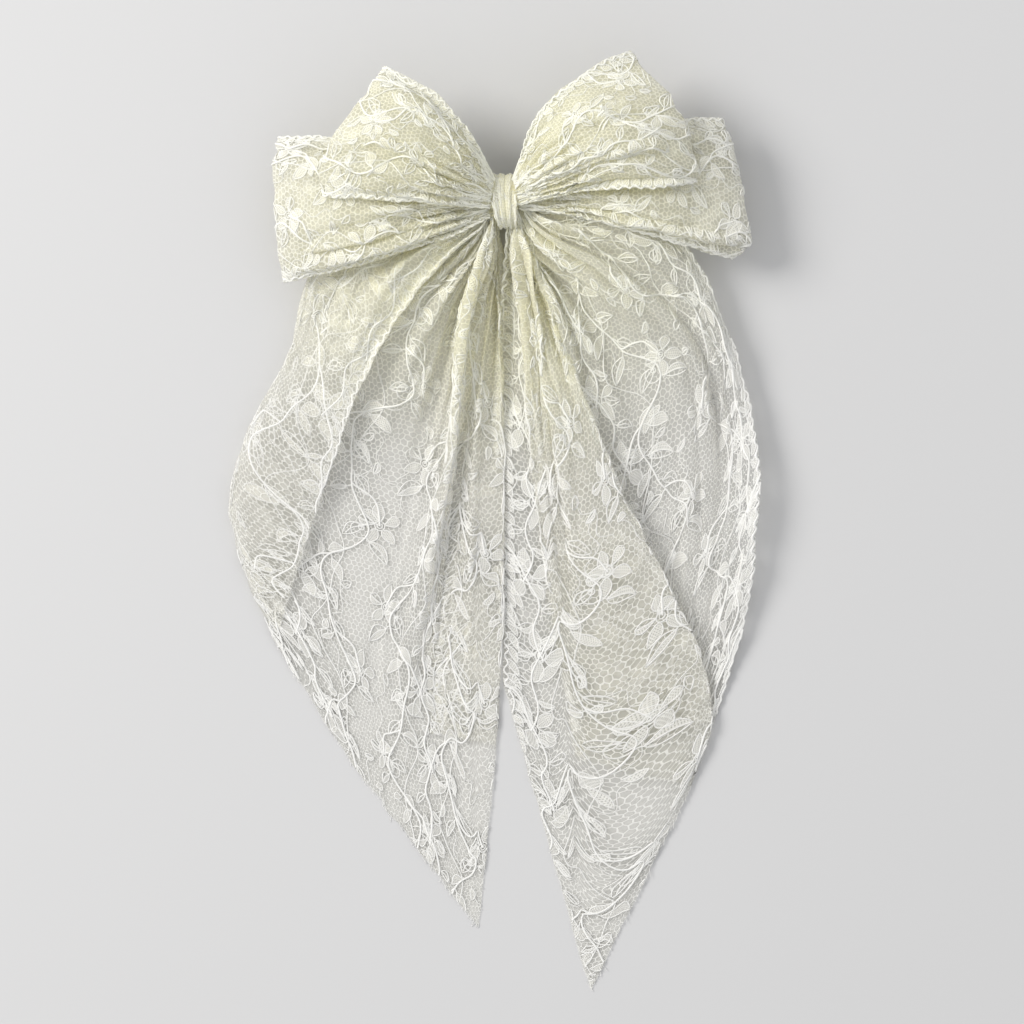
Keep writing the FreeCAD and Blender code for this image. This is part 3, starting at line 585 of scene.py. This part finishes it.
def draw_repeat(pattern, corner, mirror, draw):
    """One repeat of the design: a winding vine with its flowers, leaves, tendrils and sprigs."""
    along = np.linspace(0, REPEAT_ALONG, 40)
    vine = np.stack([vine_offset(along, mirror), along], axis=-1) + corner
    pattern.lines.append((vine, CORD_RADIUS))
    second = np.stack([-0.8 * vine_offset(along + 9, mirror) + mirror * 4, along], axis=-1) + corner
    pattern.lines.append((second, OUTLINE_RADIUS))
    for k in range(VINE_LEAVES):
        at = 2.0 + k * REPEAT_ALONG / VINE_LEAVES
        side = mirror * (1 if k % 2 else -1)
        base = corner + np.array([vine_offset(at, mirror), at])
        heading = side * draw.uniform(0.6, 1.3)
        draw_leaf(pattern, base, heading, draw.uniform(6.5, 10.0), FILLINGS[k % 3], side)
    big = corner + np.array([mirror * LARGE_FLOWER[0], LARGE_FLOWER[1]])
    small = corner + np.array([mirror * SMALL_FLOWER[0], SMALL_FLOWER[1]])
    draw_flower(pattern, big, LARGE_FLOWER[2], draw.uniform(0, 1.2))
    draw_flower(pattern, small, SMALL_FLOWER[2], draw.uniform(0, 1.2))
    pattern.add_line([corner + [vine_offset(2, mirror), 2], corner + [mirror * 7, 4], big])
    pattern.add_line([corner + [vine_offset(26, mirror), 26], corner + [-mirror * 8, 29], small])
    pattern.add_line([big, big + [mirror * 4, 9], big + [mirror * 1.5, 17], big + [mirror * 5, 27]])
    for k in range(FLOWER_LEAVES):
        base = big + np.array([mirror * (3.5 - 0.5 * k), 9 + 5.0 * k])
        draw_leaf(pattern, base, mirror * (-1.0 if k % 2 else 1.0), 6.4, FILLINGS[(k + 1) % 3], mirror)
    for k in range(SPRIGS):
        start = corner + np.array([draw.uniform(-15, 15), 8.0 * k])
        way = draw.uniform(-0.9, 0.9)
        drawn = np.array(SPRIG) * (mirror, 1)
        pattern.add_line(turned(drawn, way) + start, FINE_RADIUS)
        pattern.add_blade(start, way + 0.9 * mirror, 4.6, 2.2, leaf_width, 0.1, FILLINGS[k % 3])
    draw_curl(pattern, corner + [vine_offset(17, mirror), 17], -mirror * 0.9, 3.4, -mirror)
    draw_curl(pattern, corner + [vine_offset(42, mirror), 42], mirror * 0.8, 3.8, mirror)


def draw_border(pattern, edge, inwards, length):
    """A scalloped border along one long edge: a wavy cord and a row of small slanted petals."""
    along = np.arange(0.0, length, 0.8)
    wave = edge + inwards * (1.1 + 0.8 * np.sin(2 * math.pi * along / SCALLOP))
    pattern.lines.append((np.stack([wave, along], axis=-1), CORD_RADIUS))
    for at in np.arange(0.0, length, SCALLOP):
        pattern.add_blade((edge + inwards * 1.6, at), 0.7 * inwards, 5.4, 2.8, leaf_width, 0.1)


def lace_pattern(width, length, shift_across, shift_along, seed, scale=1.0):
    """The repeats that cover a strip, every other column dropped by half a repeat.

    The design is drawn at full size and then scaled, but its yarn keeps its thickness.
    """
    width, length = width / scale, length / scale
    draw = np.random.default_rng(seed)
    pattern = Pattern()
    draw_border(pattern, 0.0, 1, length)
    draw_border(pattern, width, -1, length)
    for i in range(-1, int(width / REPEAT_ACROSS) + 2):
        drop = REPEAT_ALONG / 2 if i % 2 else 0.0
        for j in range(-2, int(length / REPEAT_ALONG) + 2):
            corner = np.array([i * REPEAT_ACROSS + shift_across, j * REPEAT_ALONG + drop + shift_along])
            draw_repeat(pattern, corner, 1 if i % 2 else -1, draw)
    pattern.blades = [(grid * scale, own * scale) for grid, own in pattern.blades]
    pattern.lines = [(line * scale, radius) for line, radius in pattern.lines]
    return pattern


def runs_inside(inside):
    """The stretches of a line that are on the cloth, as first and last point."""
    edges = np.flatnonzero(np.diff(np.concatenate([[0], inside.astype(int), [0]])))
    return [(a, b) for a, b in zip(edges[::2], edges[1::2]) if b - a >= 3]


# ---------------------------------------- materials

class Wiring:
    """Short calls that make and join the nodes of one material."""

    def __init__(self, name, colour, roughness):
        self.material = bpy.data.materials.new(name)
        self.material.use_nodes = True
        self.tree = self.material.node_tree
        self.shader = self.tree.nodes["Principled BSDF"]
        self.shader.inputs["Base Color"].default_value = (*colour, 1)
        self.shader.inputs["Roughness"].default_value = roughness

    def put(self, value, socket):
        if isinstance(value, bpy.types.NodeSocket):
            self.tree.links.new(value, socket)
        elif value is not None:
            socket.default_value = value

    def node(self, kind, **settings):
        made = self.tree.nodes.new(kind)
        for key, value in settings.items():
            setattr(made, key, value)
        return made

    def math(self, operation, first, second=None):
        made = self.node("ShaderNodeMath", operation=operation)
        for value, socket in zip((first, second), made.inputs):
            self.put(value, socket)
        return made.outputs[0]

    def noise(self, vector, scale, detail=2.0, output="Fac"):
        made = self.node("ShaderNodeTexNoise")
        self.put(vector, made.inputs["Vector"])
        made.inputs["Scale"].default_value = scale
        made.inputs["Detail"].default_value = detail
        return made.outputs[output]

    def between(self, value, low, high, to_low=0.0, to_high=1.0):
        """A soft step from to_low to to_high, as the value goes from low to high."""
        made = self.node("ShaderNodeMapRange", interpolation_type="SMOOTHSTEP")
        for v, socket in zip((value, low, high, to_low, to_high), made.inputs):
            self.put(v, socket)
        return made.outputs[0]

    def mix(self, share, first, second):
        made = self.node("ShaderNodeMix", data_type="RGBA")
        self.put(share, made.inputs[0])
        self.put((*first, 1) if isinstance(first, tuple) else first, made.inputs[6])
        self.put((*second, 1) if isinstance(second, tuple) else second, made.inputs[7])
        return made.outputs[2]

    def bump(self, height, depth):
        """Relief of this depth, in metres."""
        made = self.node("ShaderNodeBump")
        self.put(height, made.inputs["Height"])
        made.inputs["Distance"].default_value = depth
        made.inputs["Strength"].default_value = 1.0
        self.put(made.outputs[0], self.shader.inputs["Normal"])

    def flat_place(self):
        """The place on the flat cloth, in mm."""
        made = self.node("ShaderNodeVectorMath", operation="SCALE")
        self.put(self.node("ShaderNodeTexCoord").outputs["UV"], made.inputs[0])
        made.inputs["Scale"].default_value = 1 / MM
        return made.outputs[0]

    def place(self):
        """The place in the frame, in metres."""
        return self.node("ShaderNodeTexCoord").outputs["Object"]


# The yarn's colour near the knot and far from it, and that of the light that comes through it. The yarn is
# all one colour: the brighter, yellower colours near the knot are painted light, standing in for light
# bounced between the many plies there, and the yarn's duller colour far out is painted shade on the thin
# tails.
CREAM_NEAR_PAINTED_BOUNCE = (0.985, 0.975, 0.84)
CREAM_FAR_PAINTED_SHADE = (0.91, 0.902, 0.865)
THROUGH_NEAR_PAINTED_BOUNCE = (0.99, 0.968, 0.79)
THROUGH_FAR = (0.98, 0.972, 0.92)
# Each change takes place between these two distances from the knot, in metres.
COLOUR_REACH = (0.035, 0.11)
THROUGH_REACH = (0.03, 0.10)
HAZE_REACH = (0.015, 0.125)
# The tails' net, in mm: the width of a cell and of its thread. WOBBLE bends the rows of cells.
NET_CELL = 1.85
NET_THREAD = 0.28
WOBBLE = 3.4
# The filling's weave, in mm: the distance between its ribs and between its cross threads.
RIB_PITCH = 0.62
CROSS_PITCH = 0.7
# The opacity of the yarn itself.
YARN_ALPHA = 0.97


def distance_from_knot(wiring):
    reach = wiring.node("ShaderNodeVectorMath", operation="LENGTH")
    wiring.put(wiring.place(), reach.inputs[0])
    return reach.outputs["Value"]


def cream(wiring, brighter=1.0):
    """Cream yarn with painted light and shade: brighter and warmer near the knot, painted light for the
    light bounced between the many plies there, and duller far out, painted shade.
    """
    place = wiring.place()
    # painted light and shade: the base colour runs from the bright, warm near colour at the knot to the
    # duller far colour on the tails
    far = wiring.between(distance_from_knot(wiring), *COLOUR_REACH)
    painted_bounce_colour = tuple(min(1.0, v * brighter) for v in CREAM_NEAR_PAINTED_BOUNCE)
    painted_shade_colour = tuple(min(1.0, v * brighter) for v in CREAM_FAR_PAINTED_SHADE)
    base = wiring.mix(far, painted_bounce_colour, painted_shade_colour)
    speckle = wiring.between(wiring.noise(place, 900.0, 3.0), 0.3, 0.7)
    darker = tuple(v * 0.95 for v in painted_shade_colour)
    speckled = wiring.mix(wiring.math("MULTIPLY", speckle, 0.35), base, darker)
    wiring.put(speckled, wiring.shader.inputs["Base Color"])
    wiring.shader.inputs["Sheen Weight"].default_value = 0.25
    wiring.shader.inputs["Sheen Roughness"].default_value = 0.5


def let_light_through(wiring, share):
    """Some of the light that falls on the yarn comes out on its other side."""
    through = wiring.node("ShaderNodeBsdfTranslucent")
    # painted light: the light that comes through is made yellower near the knot, standing in for light
    # bounced between the many plies there
    far = wiring.between(distance_from_knot(wiring), *THROUGH_REACH)
    wiring.put(wiring.mix(far, THROUGH_NEAR_PAINTED_BOUNCE, THROUGH_FAR), through.inputs["Color"])
    both = wiring.node("ShaderNodeMixShader")
    both.inputs[0].default_value = share
    output = wiring.tree.nodes["Material Output"]
    wiring.put(wiring.shader.outputs[0], both.inputs[1])
    wiring.put(through.outputs[0], both.inputs[2])
    wiring.put(both.outputs[0], output.inputs["Surface"])


def six_sided(wiring, x, y, shift):
    """How far a place is from the middle of its hexagonal cell: 0.5 at the rim.

    A hexagon net is two lattices of such cells, one shifted by half a cell from the other.
    """
    root = math.sqrt(3)
    wide = wiring.math("SUBTRACT", wiring.math("FRACT", wiring.math("ADD", x, shift)), 0.5)
    tall = wiring.math("FRACT", wiring.math("ADD", wiring.math("DIVIDE", y, root), shift))
    tall = wiring.math("MULTIPLY", wiring.math("SUBTRACT", tall, 0.5), root)
    wide, tall = wiring.math("ABSOLUTE", wide), wiring.math("ABSOLUTE", tall)
    sideways, upwards = wiring.math("MULTIPLY", wide, 0.5), wiring.math("MULTIPLY", tall, root / 2)
    return wiring.math("MAXIMUM", wide, wiring.math("ADD", sideways, upwards))


def net_material(name, near_haze, far_haze, cell=NET_CELL, thread=NET_THREAD):
    """Fine hexagon net: yarn along the rims of the cells, and a haze of fuzz in between.

    The haze is closer near the knot, where the net is gathered.
    """
    wiring = Wiring(name, CREAM_FAR_PAINTED_SHADE, 0.8)
    flat = wiring.flat_place()
    wobble = wiring.node("ShaderNodeVectorMath", operation="SCALE")
    wiring.put(wiring.noise(flat, 0.16, 2.0, "Color"), wobble.inputs[0])
    wobble.inputs["Scale"].default_value = WOBBLE
    moved = wiring.node("ShaderNodeVectorMath", operation="ADD")
    wiring.put(flat, moved.inputs[0])
    wiring.put(wobble.outputs[0], moved.inputs[1])
    parts = wiring.node("ShaderNodeSeparateXYZ")
    wiring.put(moved.outputs[0], parts.inputs[0])
    x = wiring.math("DIVIDE", parts.outputs[0], cell)
    y = wiring.math("DIVIDE", parts.outputs[1], cell)
    nearest = wiring.math("MINIMUM", six_sided(wiring, x, y, 0.0), six_sided(wiring, x, y, 0.5))
    half = thread / cell / 2
    yarn = wiring.between(nearest, 0.5 - half * 1.35, 0.5 - half * 0.65)
    haze = wiring.between(distance_from_knot(wiring), *HAZE_REACH, near_haze, far_haze)
    wiring.put(wiring.between(yarn, 0.0, 1.0, haze, YARN_ALPHA), wiring.shader.inputs["Alpha"])
    cream(wiring)
    wiring.bump(yarn, 0.00006)
    let_light_through(wiring, 0.46)
    return wiring.material


def fill_material(name, gap, weave):
    """The close-woven filling of a petal or leaf: ribs of yarn with thin gaps."""
    wiring = Wiring(name, CREAM_FAR_PAINTED_SHADE, 0.75)
    parts = wiring.node("ShaderNodeSeparateXYZ")
    wiring.put(wiring.flat_place(), parts.inputs[0])
    bow = wiring.math("MULTIPLY", wiring.math("ABSOLUTE", parts.outputs[0]), 0.45)
    along = wiring.math("DIVIDE", wiring.math("ADD", parts.outputs[1], bow), RIB_PITCH)
    rib = wiring.math("ABSOLUTE", wiring.math("SUBTRACT", wiring.math("FRACT", along), 0.5))
    across = wiring.math("FRACT", wiring.math("DIVIDE", parts.outputs[0], CROSS_PITCH))
    cross = wiring.math("ABSOLUTE", wiring.math("SUBTRACT", across, 0.5))
    yarn = wiring.math("MAXIMUM", wiring.between(rib, 0.40, 0.22), wiring.between(cross, 0.26, 0.12))
    wiring.put(wiring.between(yarn, 0.0, 1.0, gap, weave), wiring.shader.inputs["Alpha"])
    cream(wiring)
    wiring.bump(yarn, 0.00004)
    let_light_through(wiring, 0.25)
    return wiring.material


def cord_material(name):
    """The thick outline yarn, with the slant of its twist."""
    wiring = Wiring(name, CREAM_FAR_PAINTED_SHADE, 0.65)
    parts = wiring.node("ShaderNodeSeparateXYZ")
    wiring.put(wiring.flat_place(), parts.inputs[0])
    slant = wiring.math("ADD", wiring.math("MULTIPLY", parts.outputs[0], 6.0), parts.outputs[1])
    twist = wiring.math("SINE", wiring.math("MULTIPLY", slant, 2 * math.pi / 0.9))
    cream(wiring, 1.02)
    wiring.bump(twist, 0.00002)
    return wiring.material


def yarn_material(name):
    """Twisted sewing thread, wound tight."""
    wiring = Wiring(name, CREAM_FAR_PAINTED_SHADE, 0.6)
    cream(wiring)
    wiring.bump(wiring.noise(wiring.place(), 2600.0, 2.0), 0.00006)
    return wiring.material


def steel_material(name, colour, roughness, scratch):
    """Plated steel with fine brushing along the clip, and small uneven patches."""
    wiring = Wiring(name, colour, roughness)
    wiring.shader.inputs["Metallic"].default_value = 1.0
    stretch = wiring.node("ShaderNodeVectorMath", operation="MULTIPLY")
    wiring.put(wiring.place(), stretch.inputs[0])
    stretch.inputs[1].default_value = (0.06, 1.0, 1.0)
    grain = wiring.noise(stretch.outputs[0], 9000.0, 3.0)
    patches = wiring.noise(wiring.place(), 160.0, 3.0)
    rough = wiring.math("ADD", wiring.math("MULTIPLY", grain, 0.16), wiring.math("MULTIPLY", patches, 0.14))
    rough = wiring.math("ADD", rough, roughness - 0.15)
    wiring.put(rough, wiring.shader.inputs["Roughness"])
    worn = tuple(v * 0.82 for v in colour)
    tint = wiring.mix(wiring.between(patches, 0.35, 0.75), colour, worn)
    wiring.put(tint, wiring.shader.inputs["Base Color"])
    wiring.bump(grain, scratch)
    return wiring.material


def glue_material(name):
    """Set hot glue: cloudy, a little glossy, with soft lumps."""
    wiring = Wiring(name, (0.80, 0.77, 0.66), 0.35)
    lumps = wiring.noise(wiring.place(), 420.0, 3.0)
    clouds = wiring.mix(wiring.between(lumps, 0.3, 0.7), (0.84, 0.81, 0.70), (0.70, 0.67, 0.56))
    wiring.put(clouds, wiring.shader.inputs["Base Color"])
    wiring.shader.inputs["Subsurface Weight"].default_value = 0.3
    wiring.shader.inputs["Subsurface Scale"].default_value = 0.002
    wiring.bump(lumps, 0.0004)
    return wiring.material


NET = net_material("cream_net", 0.62, 0.10)
LOOP_NET = net_material("loop_net", 0.5, 0.26, 1.6, 0.32)
FOLDED = net_material("folded_band_lace", 0.7, 0.7, 1.1, 0.4)
FILL = fill_material("cream_filling", 0.16, 0.68)
LOOP_FILL = fill_material("loop_filling", 0.30, 0.78)
CORD = cord_material("cream_cord")


# ---------------------------------------- pieces

OUTER_PLEATS = 10
INNER_PLEATS = 8
# No motif or cord of a loop is laid this near to its ends.
LOOP_MARGIN = 3.0


def sheet_piece(strip, material):
    """The net ground of a strip."""
    build = Build()
    across = np.broadcast_to(strip.across[:, None], strip.along.shape)
    build.grid(strip.points, np.stack([across, strip.along], axis=-1))
    return build.finish(strip.name + "_net", material)


def fill_piece(strip, pattern, margin, material):
    """The woven petals and leaves of a strip, slightly domed over the net."""
    build = Build()
    for grid, own in pattern.blades:
        keep = strip.inside(grid, margin)
        if not keep.any():
            continue
        dome = 0.10 + 0.16 * (1 - np.linspace(-1, 1, grid.shape[1]) ** 2)
        points, _ = strip.place(grid, np.broadcast_to(dome[None, :], grid.shape[:2]))
        build.grid(points, own, keep)
    return build.finish(strip.name + "_filling", material)


def cord_pieces(strip, pattern, margin):
    """The yarn that lies on the net of a strip: the thick cord of its vines, and the thin outlines."""
    thick, thin = Build(), Build()
    for line, radius in pattern.lines:
        build, sides = (thick, 5) if radius > OUTLINE_RADIUS else (thin, 4)
        for first, last in runs_inside(strip.inside(line, margin)):
            path, normals = strip.place(line[first:last], radius * 0.5)
            build.tube(path, normals, radius, sides)
    return [thick.finish(strip.name + "_cord", CORD), thin.finish(strip.name + "_outline", CORD)]


def frayed_piece(strip):
    """Loose ends of the net's yarn along the cut end."""
    build = Build()
    draw = np.random.default_rng(strip.seed + 5)
    for across in np.arange(0.5, strip.width, 0.9):
        end, normals = strip.place(np.array([[across, strip.length_at(across) - 0.8],
                                             [across, strip.length_at(across)]]))
        way = end[1] - end[0]
        way = way / max(np.linalg.norm(way), 1e-9) + draw.normal(0, 0.35, 3) * (1, 1, 0.3)
        reach = draw.uniform(0.3, 1.3)
        path = np.stack([end[1] - way * 0.4, end[1] + way * reach * 0.5, end[1] + way * reach])
        path[2, :2] += draw.normal(0, 0.25, 2)
        path[:, 2] = np.maximum(path[:, 2], TABLE_Z / MM + 0.15)
        build.tube(path, normals[[0, 1, 1]], 0.10, sides=3)
    return build.finish(strip.name + "_frayed_end", CORD)


def lace_sheet(node, rails, width, pleats, seed, slot, ground, frayed=False, layer="", **how):
    """One layer of a CAD cloth solid, as a real sheet: its net, motifs, cords and frayed end.

    Only a tail is frayed. A loop has smaller motifs, and none near its ends.
    """
    strip = Strip(node + layer, rails, width, pleats, seed, **how)
    margin = 0.0 if frayed else LOOP_MARGIN
    shift = 7.0 * seed % REPEAT_ACROSS, 11.0 * seed % REPEAT_ALONG
    scale = 1.0 if frayed else LOOP_SCALE
    pattern = lace_pattern(width, strip.lengths.max(), *shift, seed, scale)
    net = sheet_piece(strip, ground)
    filling = FILL if frayed else LOOP_FILL
    details = [fill_piece(strip, pattern, margin, filling), *cord_pieces(strip, pattern, margin)]
    if frayed:
        details.append(frayed_piece(strip))
    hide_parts(node)


def loop(node, rails, width, seed, face):
    """A loop of the bow. Its strip is folded in half along its length, so it has two layers."""
    both = {"columns": 170, "rows": 150, "looped": True, "face": face, "merged": 1.0, "crumple": 0.7}
    outer = {"depth": 0.29, **both}
    inner = {"layer": "_inner", "under": 1.6, "depth": 0.32, **both}
    lace_sheet(node, rails, width, OUTER_PLEATS, seed, "loop_lace", LOOP_NET, **outer)
    lace_sheet(node, rails, width, INNER_PLEATS, seed + 1, "loop_lace", LOOP_NET, **inner)


def tail(node, rails, width, pleats, seed, folds):
    """A tail: one layer of lace, gathered at the knot, that fans out to its frayed end."""
    how = {"frayed": True, "calm": 0.8, "folds": folds, "depth": 0.2, "merged": 0.5, "columns": 240}
    lace_sheet(node, rails, width, pleats, seed, "tail_lace", NET, **how)


tail("tail_left", TAIL_LEFT_RAILS, TAIL_LEFT_WIDTH, 16, 3, 3.0)
tail("tail_right", TAIL_RIGHT_RAILS, TAIL_RIGHT_WIDTH, 17, 8, 3.5)
loop("back_loop_left", BACK_LEFT_RAILS, BACK_WIDTH, 12, 1)
loop("back_loop_right", BACK_RIGHT_RAILS, BACK_WIDTH, 17, -1)
loop("front_loop_left", FRONT_LEFT_RAILS, FRONT_WIDTH, 21, 1)
loop("front_loop_right", FRONT_RIGHT_RAILS, FRONT_WIDTH, 26, -1)


def knot_band():
    """The folded lace band that is drawn tight round the knot and the clip."""
    how = {"depth": 0.12, "crumple": 0.45, "face": -1, "columns": 120, "rows": 140, "tied": False}
    strip = Strip("knot_band", band_rails(), BAND_WIDTH, BAND_PLEATS, BAND_SEED, **how)
    pattern = lace_pattern(BAND_WIDTH, strip.lengths.max(), 4.0, 9.0, BAND_SEED)
    band = sheet_piece(strip, FOLDED)
    filling = fill_piece(strip, pattern, BAND_MARGIN, LOOP_FILL)
    details = [filling, *cord_pieces(strip, pattern, BAND_MARGIN)]
    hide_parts("knot_band")


knot_band()


# ---------------------------------------- metal

PLATE_STEEL = steel_material("plate_nickel", (0.70, 0.70, 0.69), 0.34, 0.00001)
SPRING_STEEL = steel_material("spring_steel", (0.62, 0.62, 0.62), 0.30, 0.00001)
PIN_STEEL = steel_material("bright_pin", (0.74, 0.74, 0.73), 0.22, 0.000005)
NODE_LOOKS = {
    "barrette_plate": PLATE_STEEL,
    "barrette_arm": PLATE_STEEL,
    "catch_seat": PLATE_STEEL,
    "tension_leaf": SPRING_STEEL,
    "catch_wing_upper": SPRING_STEEL,
    "catch_wing_lower": SPRING_STEEL,
    "hinge_pin": PIN_STEEL,
    "leaf_rivet": PIN_STEEL,
    "catch_rivet": PIN_STEEL,
    "glue_pad": glue_material("hot_glue"),
    "gather_thread": yarn_material("gather_yarn"),
}
for node, look in NODE_LOOKS.items():
    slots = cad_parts[node].data.materials
    for k in range(len(slots)):
        slots[k] = look


# ---------------------------------------- stage

# In metres: the width that the picture shows, the camera's height over the frame's origin, and how far
# the picture's middle is from the middle of the bow.
VIEW_WIDTH = 0.346
CAMERA_HEIGHT = 2.0
CAMERA_OFFSET = (0.0054, 0.0034)
SENSOR = 36.0
TABLE_COLOUR = (0.57, 0.567, 0.562)
ROOM_COLOUR = (0.945, 0.955, 0.98)
ROOM_STRENGTH = 0.815
WINDOW_PLACE = (-1.4, 0.6, 1.25)
WINDOW_SIZE = 0.95
WINDOW_POWER = 31.5
WINDOW_COLOUR = (1.0, 0.985, 0.965)


def make_floor():
    bpy.ops.mesh.primitive_plane_add(size=4.0, location=(0, 0, TABLE_Z))
    floor = bpy.context.object
    floor.name = "table_top"
    wiring = Wiring("pale_table", TABLE_COLOUR, 0.6)
    floor.data.materials.append(wiring.material)


def make_camera():
    """Straight down on the bow, as it lies on the table."""
    low, high = cad_box
    middle = ((low.x + high.x) / 2, (low.y + high.y) / 2)
    lens = bpy.data.cameras.new("camera")
    lens.sensor_width = SENSOR
    lens.lens = SENSOR * (CAMERA_HEIGHT - TABLE_Z) / VIEW_WIDTH
    camera = bpy.data.objects.new("camera", lens)
    camera.location = (middle[0] + CAMERA_OFFSET[0], middle[1] + CAMERA_OFFSET[1], CAMERA_HEIGHT)
    bpy.context.scene.collection.objects.link(camera)
    bpy.context.scene.camera = camera


def make_window():
    """The soft daylight of a window, from the upper left, aimed at the knot."""
    data = bpy.data.lights.new("window", "AREA")
    data.shape = "DISK"
    data.size, data.energy, data.color = WINDOW_SIZE, WINDOW_POWER, WINDOW_COLOUR
    light = bpy.data.objects.new("window", data)
    light.location = WINDOW_PLACE
    aim = -light.location
    light.rotation_euler = aim.to_track_quat("-Z", "Y").to_euler()
    bpy.context.scene.collection.objects.link(light)


def make_surroundings():
    """The pale room's own light, and enough light bounces for many layers of lace."""
    world = bpy.data.worlds.new("pale_room")
    world.use_nodes = True
    background = world.node_tree.nodes["Background"]
    background.inputs["Color"].default_value = (*ROOM_COLOUR, 1)
    background.inputs["Strength"].default_value = ROOM_STRENGTH
    scene = bpy.context.scene
    scene.world = world
    scene.view_settings.view_transform = "Standard"
    scene.cycles.transparent_max_bounces = 64
    scene.cycles.diffuse_bounces = 16
    scene.cycles.max_bounces = 32
    scene.cycles.transmission_bounces = 16


make_floor()
make_window()
make_surroundings()
make_camera()
